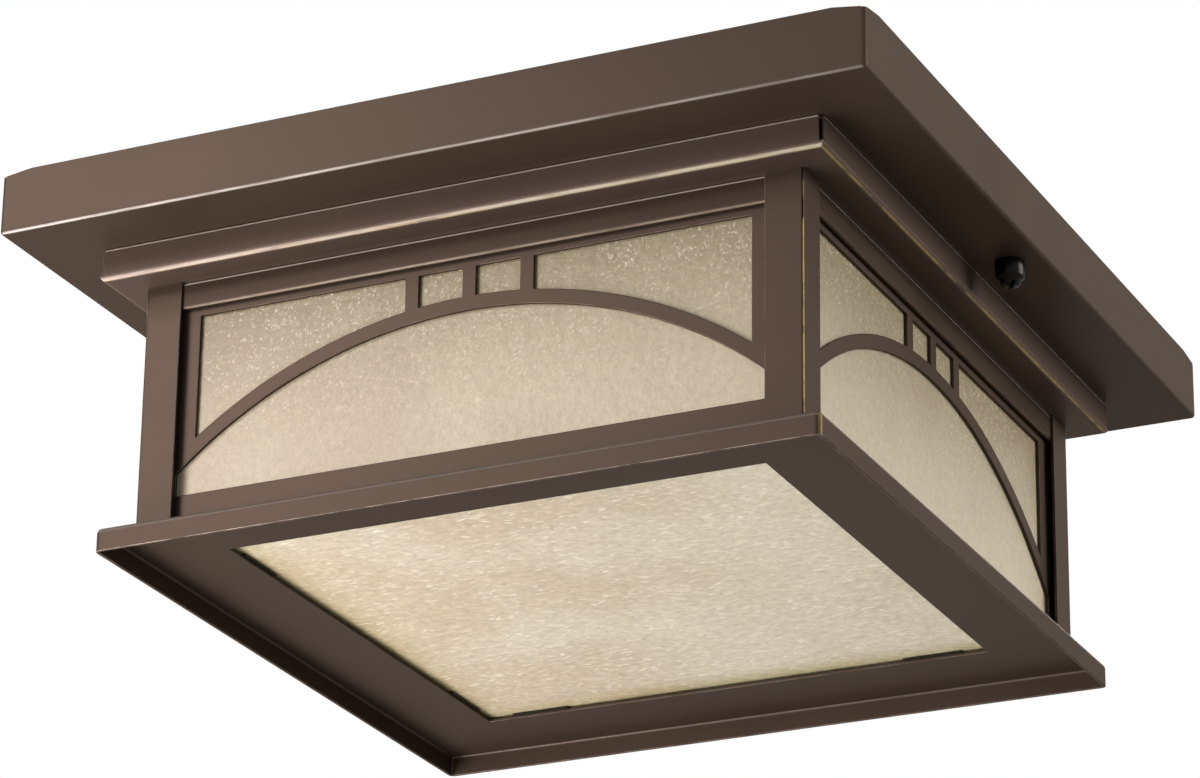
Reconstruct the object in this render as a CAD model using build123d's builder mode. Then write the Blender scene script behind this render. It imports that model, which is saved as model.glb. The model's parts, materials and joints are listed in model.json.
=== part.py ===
from build123d import *
import os
from math import cos, radians, sin

# Outdoor flush mount light, in millimetres. The ceiling is the plane z = 0 and the light hangs below it.
# The front is -Y and the right is +X, and the origin is the middle of the ceiling face.

# Folded steel sheet of the cover, and the running fits
sheet = 1.0
corner_ease = 0.2
fit = 0.1

# Canopy pan
pan_side = 305.0
pan_depth = 22.0
pan_bend_inside = 0.3
pan_lap = 9.0
rim_clip_length = 11.0
rim_clip_drop = 1.6

# Step collar, set in from the edge of the pan
pan_ledge = 24.25
collar_depth = 11.1
collar_bend_inside = 1.0
collar_fold = 1.0
collar_flange = 8.0
collar_seam = 1.6
collar_lap = 3.35

# Lantern posts and top rails, set in from the edge of the collar
collar_ledge = 11.5
lantern_height = 85.9
post_leg = 13.0
post_fold = 0.8
rail_height = 9.2
rail_fold = 1.0
rail_back_height = 6.0
hem_gap = 0.4
hem_return = 4.0

# Lattice plates
lattice_sheet = 1.0
stile_reveal = 5.75
foot_cover = 0.75
window_drop = 11.5
sill_height = 12.0
bar_width = 4.7
bar_pitch = 20.45
bar_length = 10.2
arch_width = 4.8
arch_sag = 32.8

# Glass
glass_thickness = 3.0
panel_gap = 0.2
corner_gap = 0.5

# Bottom tray, standing out past the lantern, and bottom glass
tray_ledge = 9.25
tray_depth = 8.0
tray_bend_inside = 0.8
tray_border = 31.5
bottom_glass_lap = 5.5

# Clips of spring steel
clip_sheet = 0.8
bottom_clip_width = 21.5
bottom_clip_inset = 25.5
bottom_clip_reach = 0.6
bottom_clip_grip = 8.0
side_clip_width = 18.0
side_clip_spacing = 140.0
side_clip_front = 4.0
side_clip_back = 8.0

# Rivets, and the studs and nuts at the feet of the posts
rivet_radius = 1.2
rivet_head_radius = 1.9
rivet_head_height = 1.0
collar_rivet_spacing = 150.0
rail_rivet_spacing = 120.0
tray_stud_radius = 1.5
tray_stud_end = 1.0
tray_nut_flats = 5.5
tray_nut_height = 2.4

# Crossbar on the outlet box, its studs and its slots
crossbar_width = 32.0
crossbar_thickness = 2.0
crossbar_tail = 7.5
joggle_drop = 5.0
joggle_run = 8.0
joggle_length = 20.0
stud_inset = 12.0
stud_radius = 2.08
stud_hole_ease = 0.7
stud_head_radius = 4.0
stud_head_height = 2.6
lock_nut_flats = 8.7
lock_nut_height = 3.3
box_slot_spacing = 79.4
box_slot_length = 15.0
box_slot_radius = 2.4
box_screw_ease = 4.0

# Cap nuts
cap_nut_radius = 5.0
cap_nut_length = 9.0
cap_nut_round = 2.6
cap_nut_thread = 6.0
cap_nut_slot_width = 1.3
cap_nut_slot_depth = 1.6

# Reflector tray, bushing and small screws
reflector_clearance = 4.0
reflector_depth = 6.0
reflector_sheet = 0.8
reflector_bend = 1.6
bushing_bore = 5.0
bushing_wall = 1.4
bushing_flange = 2.6
bushing_flange_height = 1.6
screw_radius = 1.6
screw_head_radius = 3.2
screw_head_height = 1.8
screw_point = 1.5
reflector_screw_spacing_x = 140.0
reflector_screw_spacing_y = 18.0
ground_screw_inset = 10.0
ground_screw_head_radius = 4.2

# Lampholders on their brackets
lamp_offset = 38.0
lamp_clearance = 9.2
socket_length = 46.0
socket_radius = 19.0
socket_round = 2.0
socket_tail_length = 14.0
socket_tail_radius = 15.0
socket_bore_radius = 14.4
socket_bore_depth = 32.0
shell_wall = 0.5
shell_mouth = 2.0
shell_eye_radius = 7.0
contact_sheet = 0.6
contact_width = 6.0
contact_half = 5.0
contact_tip = 3.0
contact_rise = 4.0
contact_gap = 0.3
bracket_sheet = 1.2
bracket_width = 22.0
bracket_foot = 26.0
bracket_inset = 2.8
bracket_below = 13.0
bracket_screw_inset = 8.0
bracket_screw_spacing = 11.0
socket_screw_spacing = 16.0
socket_screw_depth = 6.0

# Lamps with a medium screw base
lamp_tip_radius = 4.5
lamp_tip_length = 1.2
lamp_foot_length = 4.0
lamp_cap_radius = 12.6
lamp_cap_wall = 0.6
lamp_cap_length = 19.0
thread_pitch = 3.63
thread_round = 0.5
thread_count = 4
neck_insert = 5.0
neck_length = 6.0
bulb_radius = 30.0
bulb_length = 82.0
bulb_wall = 0.8

# Outer radii of the bends
pan_bend = pan_bend_inside + sheet
collar_bend = collar_bend_inside + sheet
tray_bend = tray_bend_inside + sheet

# Levels, from the ceiling down
pan_bottom = -pan_depth
lantern_top = pan_bottom - collar_depth
lantern_bottom = lantern_top - lantern_height
tray_bottom = lantern_bottom - tray_depth
rail_bottom = lantern_top - rail_height
crossbar_bottom = -crossbar_thickness
stud_seat = -joggle_drop
reflector_bottom = crossbar_bottom - reflector_sheet

# Distances of the faces of one side from the middle, from the outside in
pan_half = pan_side / 2
collar_half = pan_half - pan_ledge
collar_side = 2 * collar_half
lantern_half = collar_half - collar_ledge
tray_half = lantern_half + tray_ledge
tray_side = 2 * tray_half
tray_opening = 2 * (tray_half - tray_border)
hem_thickness = 2 * sheet + hem_gap
hem_radius = hem_thickness / 2
rail_face = lantern_half - sheet
lattice_face = rail_face - hem_thickness
glass_face = lattice_face - lattice_sheet - panel_gap
glass_back = glass_face - glass_thickness
rail_back = glass_back - panel_gap - sheet
collar_flange_edge = collar_half - sheet - collar_flange
collar_rivet_line = collar_half - sheet - collar_flange / 2
rail_rivet_line = (rail_back + sheet + lattice_face) / 2
pan_opening = 2 * (collar_flange_edge - pan_lap)
collar_opening = 2 * (rail_back - collar_lap)
reflector_half = collar_opening / 2 - reflector_clearance
reflector_side = 2 * reflector_half

# Half lengths along one side
panel_half = glass_back - corner_gap
rail_half = rail_back - corner_gap
window_half = lantern_half - post_leg - stile_reveal
arch_half = lantern_half - post_leg + foot_cover

# Heights of the panels, and the arch whose outer edge springs from the sides of the window
panel_top = lantern_top - sheet - rivet_head_height - panel_gap
panel_bottom = lantern_bottom + clip_sheet
lamp_level = panel_bottom + glass_thickness + lamp_clearance + bulb_radius
window_top = lantern_top - window_drop
window_bottom = lantern_bottom + sill_height
arch_crown = window_top - bar_length
arch_radius = (window_half**2 + arch_sag**2) / (2 * arch_sag)
arch_middle = arch_crown - arch_radius

# Post tabs, the glass on the tray, and the crossbar
tab_side = rail_face - panel_half - panel_gap
tab_middle = rail_face - tab_side / 2
bottom_glass_half = tray_opening / 2 + bottom_glass_lap
bottom_clip_spacing = 2 * (bottom_glass_half - bottom_clip_inset)
stud_reach = pan_half - stud_inset
stud_spacing = 2 * stud_reach
crossbar_half = stud_reach + crossbar_tail
crossbar_flat = crossbar_half - joggle_length - joggle_run
stud_end = pan_bottom - cap_nut_thread

# Positions along a lampholder's axis, from its back to the lamp's tip
socket_back = bracket_inset + bracket_sheet - reflector_half
socket_mouth = socket_back + socket_length
bore_bottom = socket_mouth - socket_bore_depth
lamp_tip = bore_bottom + contact_rise + contact_sheet + contact_gap
lamp_foot = lamp_tip + lamp_tip_length
lamp_cap = lamp_foot + lamp_foot_length
lamp_rim = lamp_cap + lamp_cap_length
neck_radius = lamp_cap_radius - lamp_cap_wall - fit
socket_screw_points = [(0, -socket_screw_spacing / 2), (0, socket_screw_spacing / 2)]
bulb_middle = lamp_rim + bulb_length - bulb_radius

# Turns about the upright axis that take the front side to each of the four sides
side_turns = {"front": 0, "right": 90, "rear": 180, "left": 270}
post_turns = {"front_left": 0, "front_right": 90, "rear_right": 180, "rear_left": 270}
lamp_turns = {"front": 0, "rear": 180}


def along_side(turn):
    return Vector(cos(radians(turn)), sin(radians(turn)), 0)


def out_of_side(turn):
    return Vector(sin(radians(turn)), -cos(radians(turn)), 0)


# Upright plane parallel to a side: x runs along the side, y is up and the normal points outwards
def face_plane(turn, out):
    return Plane(origin=out_of_side(turn) * out, x_dir=along_side(turn), z_dir=out_of_side(turn))


# Upright plane across a side: x points outwards, y is up and the normal runs along the side
def cross_plane(turn, shift=0.0):
    return Plane(origin=along_side(turn) * shift, x_dir=out_of_side(turn), z_dir=-along_side(turn))


# Level plane turned with a side: x runs along the side and y points inwards
def level_plane(turn, level):
    return Plane(origin=(0, 0, level), x_dir=along_side(turn), z_dir=(0, 0, 1))


def keep(piece, node):
    piece.part.label = node
    export_step(piece.part, f"parts/{node}.step")


os.makedirs("parts", exist_ok=True)

# Canopy pan: a folded tray, open towards the ceiling, with a square opening for the lamps
with BuildPart() as canopy_pan:
    with BuildSketch(Plane.XY.offset(pan_bottom)):
        RectangleRounded(pan_side, pan_side, pan_bend + corner_ease)
    extrude(amount=pan_depth)
    fillet(canopy_pan.faces().sort_by(Axis.Z)[0].edges(), pan_bend)
    offset(amount=-sheet, openings=canopy_pan.faces().sort_by(Axis.Z)[-1])
    for turn in side_turns.values():
        with BuildSketch(face_plane(turn, pan_half)):
            with BuildLine():
                Polyline(
                    (pan_half, 0),
                    (pan_half - rim_clip_length, 0),
                    (pan_half, -rim_clip_drop),
                    close=True,
                )
            make_face()
            mirror(about=Plane.YZ)
        extrude(amount=-(pan_bend + corner_ease), mode=Mode.SUBTRACT)
    with BuildSketch(Plane.XY.offset(pan_bottom)):
        Rectangle(pan_opening, pan_opening)
        with GridLocations(stud_spacing, 0, 2, 1):
            Circle(stud_radius + stud_hole_ease)
        for turn in side_turns.values():
            with Locations(Rotation(0, 0, turn)):
                with Locations((0, -collar_rivet_line)):
                    with GridLocations(collar_rivet_spacing, 0, 2, 1):
                        Circle(rivet_radius + fit)
    extrude(amount=sheet, mode=Mode.SUBTRACT)
keep(canopy_pan, "canopy_pan")

# Step collar: a folded tray with inward flanges under the pan and an open seam at each corner
with BuildPart() as step_collar:
    with BuildSketch(Plane.XY.offset(lantern_top)):
        Rectangle(collar_side, collar_side)
    extrude(amount=collar_depth)
    fillet(step_collar.faces().sort_by(Axis.Z)[0].edges(), collar_bend)
    offset(amount=-sheet, openings=step_collar.faces().sort_by(Axis.Z)[-1])
    with BuildSketch(Plane.XY.offset(pan_bottom)):
        Rectangle(collar_side, collar_side)
        Rectangle(2 * collar_flange_edge, 2 * collar_flange_edge, mode=Mode.SUBTRACT)
    extrude(amount=-sheet)
    collar_rim = step_collar.edges().filter_by(Plane.XY).group_by(Axis.Z)[-1]
    fillet(collar_rim.sort_by(SortBy.LENGTH)[-4:], collar_fold)
    with BuildSketch(Plane.XY.offset(pan_bottom)):
        with GridLocations(collar_side - collar_seam, collar_side - collar_seam, 2, 2):
            Rectangle(collar_seam, collar_seam)
    extrude(amount=collar_bend - collar_depth, mode=Mode.SUBTRACT)
    with BuildSketch(Plane.XY.offset(pan_bottom)):
        for turn in side_turns.values():
            with Locations(Rotation(0, 0, turn)):
                with Locations((0, -collar_rivet_line)):
                    with GridLocations(collar_rivet_spacing, 0, 2, 1):
                        Circle(rivet_radius + fit)
    extrude(amount=-sheet, mode=Mode.SUBTRACT)
    with BuildSketch(Plane.XY.offset(lantern_top)):
        Rectangle(collar_opening, collar_opening)
        with GridLocations(2 * tab_middle, 2 * tab_middle, 2, 2):
            Circle(rivet_radius + fit)
        for turn in side_turns.values():
            with Locations(Rotation(0, 0, turn)):
                with Locations((0, -rail_rivet_line)):
                    with GridLocations(rail_rivet_spacing, 0, 2, 1):
                        Circle(rivet_radius + fit)
    extrude(amount=sheet, mode=Mode.SUBTRACT)
keep(step_collar, "step_collar")

# Corner posts: folded angles with a small tab turned in at each end
for corner, turn in post_turns.items():
    with BuildPart() as post:
        with BuildSketch(level_plane(turn, lantern_bottom)) as angle:
            with Locations((-lantern_half, -lantern_half)):
                Rectangle(post_leg, post_leg, align=(Align.MIN, Align.MIN))
            with Locations((-rail_face, -rail_face)):
                Rectangle(post_leg, post_leg, align=(Align.MIN, Align.MIN), mode=Mode.SUBTRACT)
            fillet(angle.vertices().sort_by(SortBy.DISTANCE)[-1], post_fold)
        extrude(amount=lantern_height)
        with BuildSketch(level_plane(turn, lantern_bottom)):
            with Locations((-tab_middle, -tab_middle)):
                Rectangle(tab_side, tab_side)
                Circle(tray_stud_radius + fit, mode=Mode.SUBTRACT)
        extrude(amount=sheet)
        with BuildSketch(level_plane(turn, lantern_top)):
            with Locations((-tab_middle, -tab_middle)):
                Rectangle(tab_side, tab_side)
                Circle(rivet_radius + fit, mode=Mode.SUBTRACT)
        extrude(amount=-sheet)
    keep(post, f"{corner}_post")

# Top rails: channels whose front leg ends in a hem, with the panels' top edges inside
for side, turn in side_turns.items():
    with BuildPart() as top_rail:
        with BuildSketch(cross_plane(turn)) as rail_section:
            with Locations((rail_face - hem_radius, rail_bottom + hem_radius)):
                Circle(hem_radius)
                Circle(hem_radius - sheet, mode=Mode.SUBTRACT)
                Rectangle(hem_gap, hem_radius, align=(Align.CENTER, Align.MIN), mode=Mode.SUBTRACT)
            with Locations((lattice_face, rail_bottom + hem_radius)):
                Rectangle(sheet, hem_return, align=(Align.MIN, Align.MIN))
            with Locations((rail_face, lantern_top)):
                Rectangle(sheet, rail_height - hem_radius, align=(Align.MAX, Align.MAX))
                Rectangle(rail_face - rail_back, sheet, align=(Align.MAX, Align.MAX))
            with Locations((rail_back, lantern_top)):
                Rectangle(sheet, rail_back_height, align=(Align.MIN, Align.MAX))
            fillet(rail_section.vertices().group_by(Axis.Y)[-1].sort_by(Axis.X)[-1], rail_fold)
        extrude(amount=rail_half, both=True)
        with BuildSketch(level_plane(turn, lantern_top)):
            with Locations((0, -rail_rivet_line)):
                with GridLocations(rail_rivet_spacing, 0, 2, 1):
                    Circle(rivet_radius + fit)
        extrude(amount=-sheet, mode=Mode.SUBTRACT)
    keep(top_rail, f"{side}_top_rail")

# Lattice plates: an arch band under three short bars, pierced in one sheet
with BuildSketch() as arch_band:
    with Locations((0, arch_middle)):
        Circle(arch_radius)
        Circle(arch_radius - arch_width, mode=Mode.SUBTRACT)
    with Locations((0, arch_crown)):
        Rectangle(2 * panel_half, arch_crown - window_bottom, align=(Align.CENTER, Align.MAX), mode=Mode.INTERSECT)

with BuildSketch() as arch_opening:
    with Locations((0, arch_middle)):
        Circle(arch_radius - arch_width)
    with Locations((0, window_bottom)):
        Rectangle(
            2 * arch_half,
            arch_crown - window_bottom,
            align=(Align.CENTER, Align.MIN),
            mode=Mode.INTERSECT,
        )

for side, turn in side_turns.items():
    with BuildPart() as lattice:
        with BuildSketch(face_plane(turn, lattice_face)):
            with Locations((0, panel_bottom)):
                Rectangle(2 * panel_half, panel_top - panel_bottom, align=(Align.CENTER, Align.MIN))
            with Locations((0, window_bottom)):
                Rectangle(
                    2 * window_half,
                    window_top - window_bottom,
                    align=(Align.CENTER, Align.MIN),
                    mode=Mode.SUBTRACT,
                )
            with Locations((0, window_top)):
                with GridLocations(bar_pitch, 0, 3, 1):
                    Rectangle(bar_width, bar_length + arch_width, align=(Align.CENTER, Align.MAX))
            add(arch_band.sketch)
            add(arch_opening.sketch, mode=Mode.SUBTRACT)
        extrude(amount=-lattice_sheet)
    keep(lattice, f"{side}_lattice")

# Side glass, standing behind each lattice
for side, turn in side_turns.items():
    with BuildPart() as side_glass:
        with BuildSketch(face_plane(turn, glass_face)):
            with Locations((0, panel_bottom)):
                Rectangle(2 * panel_half, panel_top - panel_bottom, align=(Align.CENTER, Align.MIN))
        extrude(amount=-glass_thickness)
    keep(side_glass, f"{side}_glass")

# Channel clips on the tray that hold the foot of each lattice and its glass
with BuildPart() as side_glass_clips:
    for turn in side_turns.values():
        for shift in (-side_clip_spacing / 2, side_clip_spacing / 2):
            with BuildSketch(cross_plane(turn, shift)):
                with Locations((lattice_face + panel_gap + clip_sheet, lantern_bottom)):
                    Rectangle(clip_sheet, side_clip_front, align=(Align.MAX, Align.MIN))
                    Rectangle(
                        lattice_face - glass_back + 2 * (panel_gap + clip_sheet),
                        clip_sheet,
                        align=(Align.MAX, Align.MIN),
                    )
                with Locations((glass_back - panel_gap, lantern_bottom)):
                    Rectangle(clip_sheet, side_clip_back, align=(Align.MAX, Align.MIN))
            extrude(amount=side_clip_width / 2, both=True)
keep(side_glass_clips, "side_glass_clips")

# Bottom tray: a flat frame round the bottom glass, with its outer edge turned down
with BuildPart() as bottom_tray:
    with BuildSketch(Plane.XY.offset(tray_bottom)):
        RectangleRounded(tray_side, tray_side, tray_bend + corner_ease)
    extrude(amount=tray_depth)
    fillet(bottom_tray.faces().sort_by(Axis.Z)[-1].edges(), tray_bend)
    offset(amount=-sheet, openings=bottom_tray.faces().sort_by(Axis.Z)[0])
    with BuildSketch(Plane.XY.offset(lantern_bottom)):
        Rectangle(tray_opening, tray_opening)
    extrude(amount=-sheet, mode=Mode.SUBTRACT)
keep(bottom_tray, "bottom_tray")

# Bottom glass, lying in its clips
with BuildPart() as bottom_glass:
    with BuildSketch(Plane.XY.offset(panel_bottom)):
        Rectangle(2 * bottom_glass_half, 2 * bottom_glass_half)
    extrude(amount=glass_thickness)
keep(bottom_glass, "bottom_glass")

# Clips folded round the edge of the bottom glass, two a side
clip_inside = bottom_glass_half + panel_gap
clip_height = glass_thickness + panel_gap + 2 * clip_sheet
clip_foot = clip_inside + clip_sheet - (tray_opening / 2 - bottom_clip_reach)
with BuildPart() as bottom_glass_clips:
    for turn in side_turns.values():
        for shift in (-bottom_clip_spacing / 2, bottom_clip_spacing / 2):
            with BuildSketch(cross_plane(turn, shift)):
                with Locations((clip_inside + clip_sheet, lantern_bottom)):
                    Rectangle(clip_foot, clip_sheet, align=(Align.MAX, Align.MIN))
                    Rectangle(clip_sheet, clip_height, align=(Align.MAX, Align.MIN))
                with Locations((clip_inside + clip_sheet, lantern_bottom + clip_height)):
                    Rectangle(bottom_clip_grip, clip_sheet, align=(Align.MAX, Align.MAX))
            extrude(amount=bottom_clip_width / 2, both=True)
keep(bottom_glass_clips, "bottom_glass_clips")


# Rivets of equal length on a list of level points, with a head above and a closed end below
def rivets(points, grip_top, grip_bottom):
    with BuildPart() as group:
        with BuildSketch(Plane.XY.offset(grip_bottom)):
            with Locations(*points):
                Circle(rivet_radius)
        extrude(amount=grip_top - grip_bottom)
        with BuildSketch(Plane.XY.offset(grip_top)):
            with Locations(*points):
                Circle(rivet_head_radius)
        extrude(amount=rivet_head_height)
        with BuildSketch(Plane.XY.offset(grip_bottom)):
            with Locations(*points):
                Circle(rivet_head_radius)
        extrude(amount=-rivet_head_height)
    return group


# Two points on each of the four sides, at a distance out from the middle
def side_points(out, spacing):
    ends = (-spacing / 2, spacing / 2)
    return [out_of_side(turn) * out + along_side(turn) * end for turn in side_turns.values() for end in ends]


corner_points = [(x, y) for x in (-tab_middle, tab_middle) for y in (-tab_middle, tab_middle)]
keep(
    rivets(side_points(collar_rivet_line, collar_rivet_spacing), pan_bottom + sheet, pan_bottom - sheet),
    "collar_rivets",
)
keep(
    rivets(side_points(rail_rivet_line, rail_rivet_spacing), lantern_top + sheet, lantern_top - sheet),
    "rail_rivets",
)
keep(rivets(corner_points, lantern_top + sheet, lantern_top - sheet), "post_rivets")

# Studs welded on the tray, up through the feet of the posts, and their nuts
with BuildPart() as tray_studs:
    with BuildSketch(Plane.XY.offset(lantern_bottom)):
        with Locations(*corner_points):
            Circle(tray_stud_radius)
    extrude(amount=sheet + tray_nut_height + tray_stud_end)
keep(tray_studs, "tray_studs")

with BuildPart() as tray_nuts:
    with BuildSketch(Plane.XY.offset(lantern_bottom + sheet)):
        with Locations(*corner_points):
            RegularPolygon(tray_nut_flats / 2, 6, major_radius=False)
            Circle(tray_stud_radius + fit, mode=Mode.SUBTRACT)
    extrude(amount=tray_nut_height)
keep(tray_nuts, "tray_nuts")

# Cap nuts: round, slotted across the end, with a blind thread for the stud
for side, place in (("left", -stud_reach), ("right", stud_reach)):
    with BuildPart() as cap_nut:
        with BuildSketch(Plane.XY.offset(pan_bottom)):
            with Locations((place, 0)):
                Circle(cap_nut_radius)
        extrude(amount=-cap_nut_length)
        fillet(cap_nut.faces().sort_by(Axis.Z)[0].edges(), cap_nut_round)
        with BuildSketch(Plane.XY.offset(pan_bottom - cap_nut_length)):
            with Locations((place, 0)):
                Rectangle(2 * cap_nut_radius, cap_nut_slot_width)
        extrude(amount=cap_nut_slot_depth, mode=Mode.SUBTRACT)
        with BuildSketch(Plane.XY.offset(pan_bottom)):
            with Locations((place, 0)):
                Circle(stud_radius + fit)
        extrude(amount=-(cap_nut_thread + fit), mode=Mode.SUBTRACT)
    keep(cap_nut, f"{side}_cap_nut")

# Mounting bar: a flat strap, joggled down at its ends to make room for the heads of the studs
reflector_screw_points = [
    (x, y)
    for x in (-reflector_screw_spacing_x / 2, reflector_screw_spacing_x / 2)
    for y in (-reflector_screw_spacing_y / 2, reflector_screw_spacing_y / 2)
]
ground_screw_point = (crossbar_flat - ground_screw_inset, 0)
with BuildPart() as mounting_bar:
    with BuildSketch(Plane.XZ):
        with BuildLine():
            Polyline(
                (0, 0),
                (crossbar_flat, 0),
                (crossbar_flat + joggle_run, stud_seat),
                (crossbar_half, stud_seat),
                (crossbar_half, stud_seat - crossbar_thickness),
                (crossbar_flat + joggle_run, stud_seat - crossbar_thickness),
                (crossbar_flat, crossbar_bottom),
                (0, crossbar_bottom),
                close=True,
            )
        make_face()
        mirror(about=Plane.YZ)
    extrude(amount=crossbar_width / 2, both=True)
    with BuildSketch(Plane.XY):
        Circle(bushing_bore + bushing_wall + fit)
        with GridLocations(box_slot_spacing, 0, 2, 1):
            SlotOverall(box_slot_length, 2 * box_slot_radius)
        with GridLocations(stud_spacing, 0, 2, 1):
            Circle(stud_radius + fit)
        with Locations(*reflector_screw_points, ground_screw_point):
            Circle(screw_radius + fit)
    extrude(amount=stud_seat - crossbar_thickness, mode=Mode.SUBTRACT)
keep(mounting_bar, "mounting_bar")

# Studs: headed screws hanging from the ends of the bar, and the lock nuts under it
with BuildPart() as mounting_studs:
    with BuildSketch(Plane.XY.offset(stud_seat)):
        with GridLocations(stud_spacing, 0, 2, 1):
            Circle(stud_head_radius)
    extrude(amount=stud_head_height)
    fillet(mounting_studs.faces().filter_by(Plane.XY).group_by(Axis.Z)[-1].edges(), stud_head_height / 2)
    with BuildSketch(Plane.XY.offset(stud_seat)):
        with GridLocations(stud_spacing, 0, 2, 1):
            Circle(stud_radius)
    extrude(amount=stud_end - stud_seat)
keep(mounting_studs, "mounting_studs")

with BuildPart() as stud_lock_nuts:
    with BuildSketch(Plane.XY.offset(stud_seat - crossbar_thickness)):
        with GridLocations(stud_spacing, 0, 2, 1):
            RegularPolygon(lock_nut_flats / 2, 6, major_radius=False)
            Circle(stud_radius + fit, mode=Mode.SUBTRACT)
    extrude(amount=-lock_nut_height)
keep(stud_lock_nuts, "stud_lock_nuts")

# Reflector: a shallow white tray under the bar, with holes for the wires and the box screws
bracket_screw_points = []
for turn in lamp_turns.values():
    for step in (0, 1):
        reach = socket_back + bracket_screw_inset + step * bracket_screw_spacing
        bracket_screw_points.append(along_side(turn) * reach + out_of_side(turn) * lamp_offset)

with BuildPart() as reflector_tray:
    with BuildSketch(Plane.XY.offset(crossbar_bottom)):
        RectangleRounded(reflector_side, reflector_side, reflector_bend + corner_ease)
    extrude(amount=-reflector_depth)
    fillet(reflector_tray.faces().sort_by(Axis.Z)[-1].edges(), reflector_bend)
    offset(amount=-reflector_sheet, openings=reflector_tray.faces().sort_by(Axis.Z)[0])
    with BuildSketch(Plane.XY.offset(crossbar_bottom)):
        Circle(bushing_bore + bushing_wall + fit)
        with GridLocations(box_slot_spacing, 0, 2, 1):
            SlotOverall(box_slot_length + 2 * box_screw_ease, 2 * (box_slot_radius + box_screw_ease))
        with Locations(*reflector_screw_points, *bracket_screw_points):
            Circle(screw_radius + fit)
    extrude(amount=-reflector_sheet, mode=Mode.SUBTRACT)
keep(reflector_tray, "reflector_tray")


# Pan-head screws on a list of level points, driven upwards, with the head under its seat
def screws(points, seat, point_level, head_radius):
    with BuildPart() as group:
        with BuildSketch(Plane.XY.offset(seat)):
            with Locations(*points):
                Circle(head_radius)
        extrude(amount=-screw_head_height)
        fillet(group.faces().filter_by(Plane.XY).group_by(Axis.Z)[0].edges(), screw_head_height / 2)
        with BuildSketch(Plane.XY.offset(seat)):
            with Locations(*points):
                Circle(screw_radius)
        extrude(amount=point_level - seat)
    return group


keep(screws(reflector_screw_points, reflector_bottom, -fit, screw_head_radius), "reflector_screws")
keep(screws([ground_screw_point], crossbar_bottom, -fit, ground_screw_head_radius), "ground_screw")
keep(
    screws(
        bracket_screw_points,
        reflector_bottom - bracket_sheet,
        crossbar_bottom + screw_point,
        screw_head_radius,
    ),
    "bracket_screws",
)

# Bushing in the middle of the bar and the reflector, where the supply wires come through
with BuildPart() as wire_bushing:
    with BuildSketch(Plane.XY.offset(reflector_bottom)):
        Circle(bushing_bore + bushing_wall)
    extrude(amount=-fit - reflector_bottom)
    with BuildSketch(Plane.XY.offset(reflector_bottom)):
        Circle(bushing_bore + bushing_wall + bushing_flange)
    extrude(amount=-bushing_flange_height)
    with BuildSketch(Plane.XY):
        Circle(bushing_bore)
    extrude(amount=reflector_bottom - bushing_flange_height, mode=Mode.SUBTRACT)
keep(wire_bushing, "wire_bushing")


# Plane through a lampholder's axis: x runs along the axis towards the lamp, y is up from the axis
def lamp_plane(turn):
    middle = out_of_side(turn) * lamp_offset + Vector(0, 0, lamp_level)
    return Plane(origin=middle, x_dir=along_side(turn), z_dir=out_of_side(turn))


def lamp_axis(turn):
    return Axis(lamp_plane(turn).origin, along_side(turn))


# Plane square to a lampholder's axis, at a distance along it, with y up
def axis_plane(turn, reach):
    middle = lamp_plane(turn).origin + along_side(turn) * reach
    return Plane(origin=middle, x_dir=out_of_side(turn), z_dir=-along_side(turn))


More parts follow.
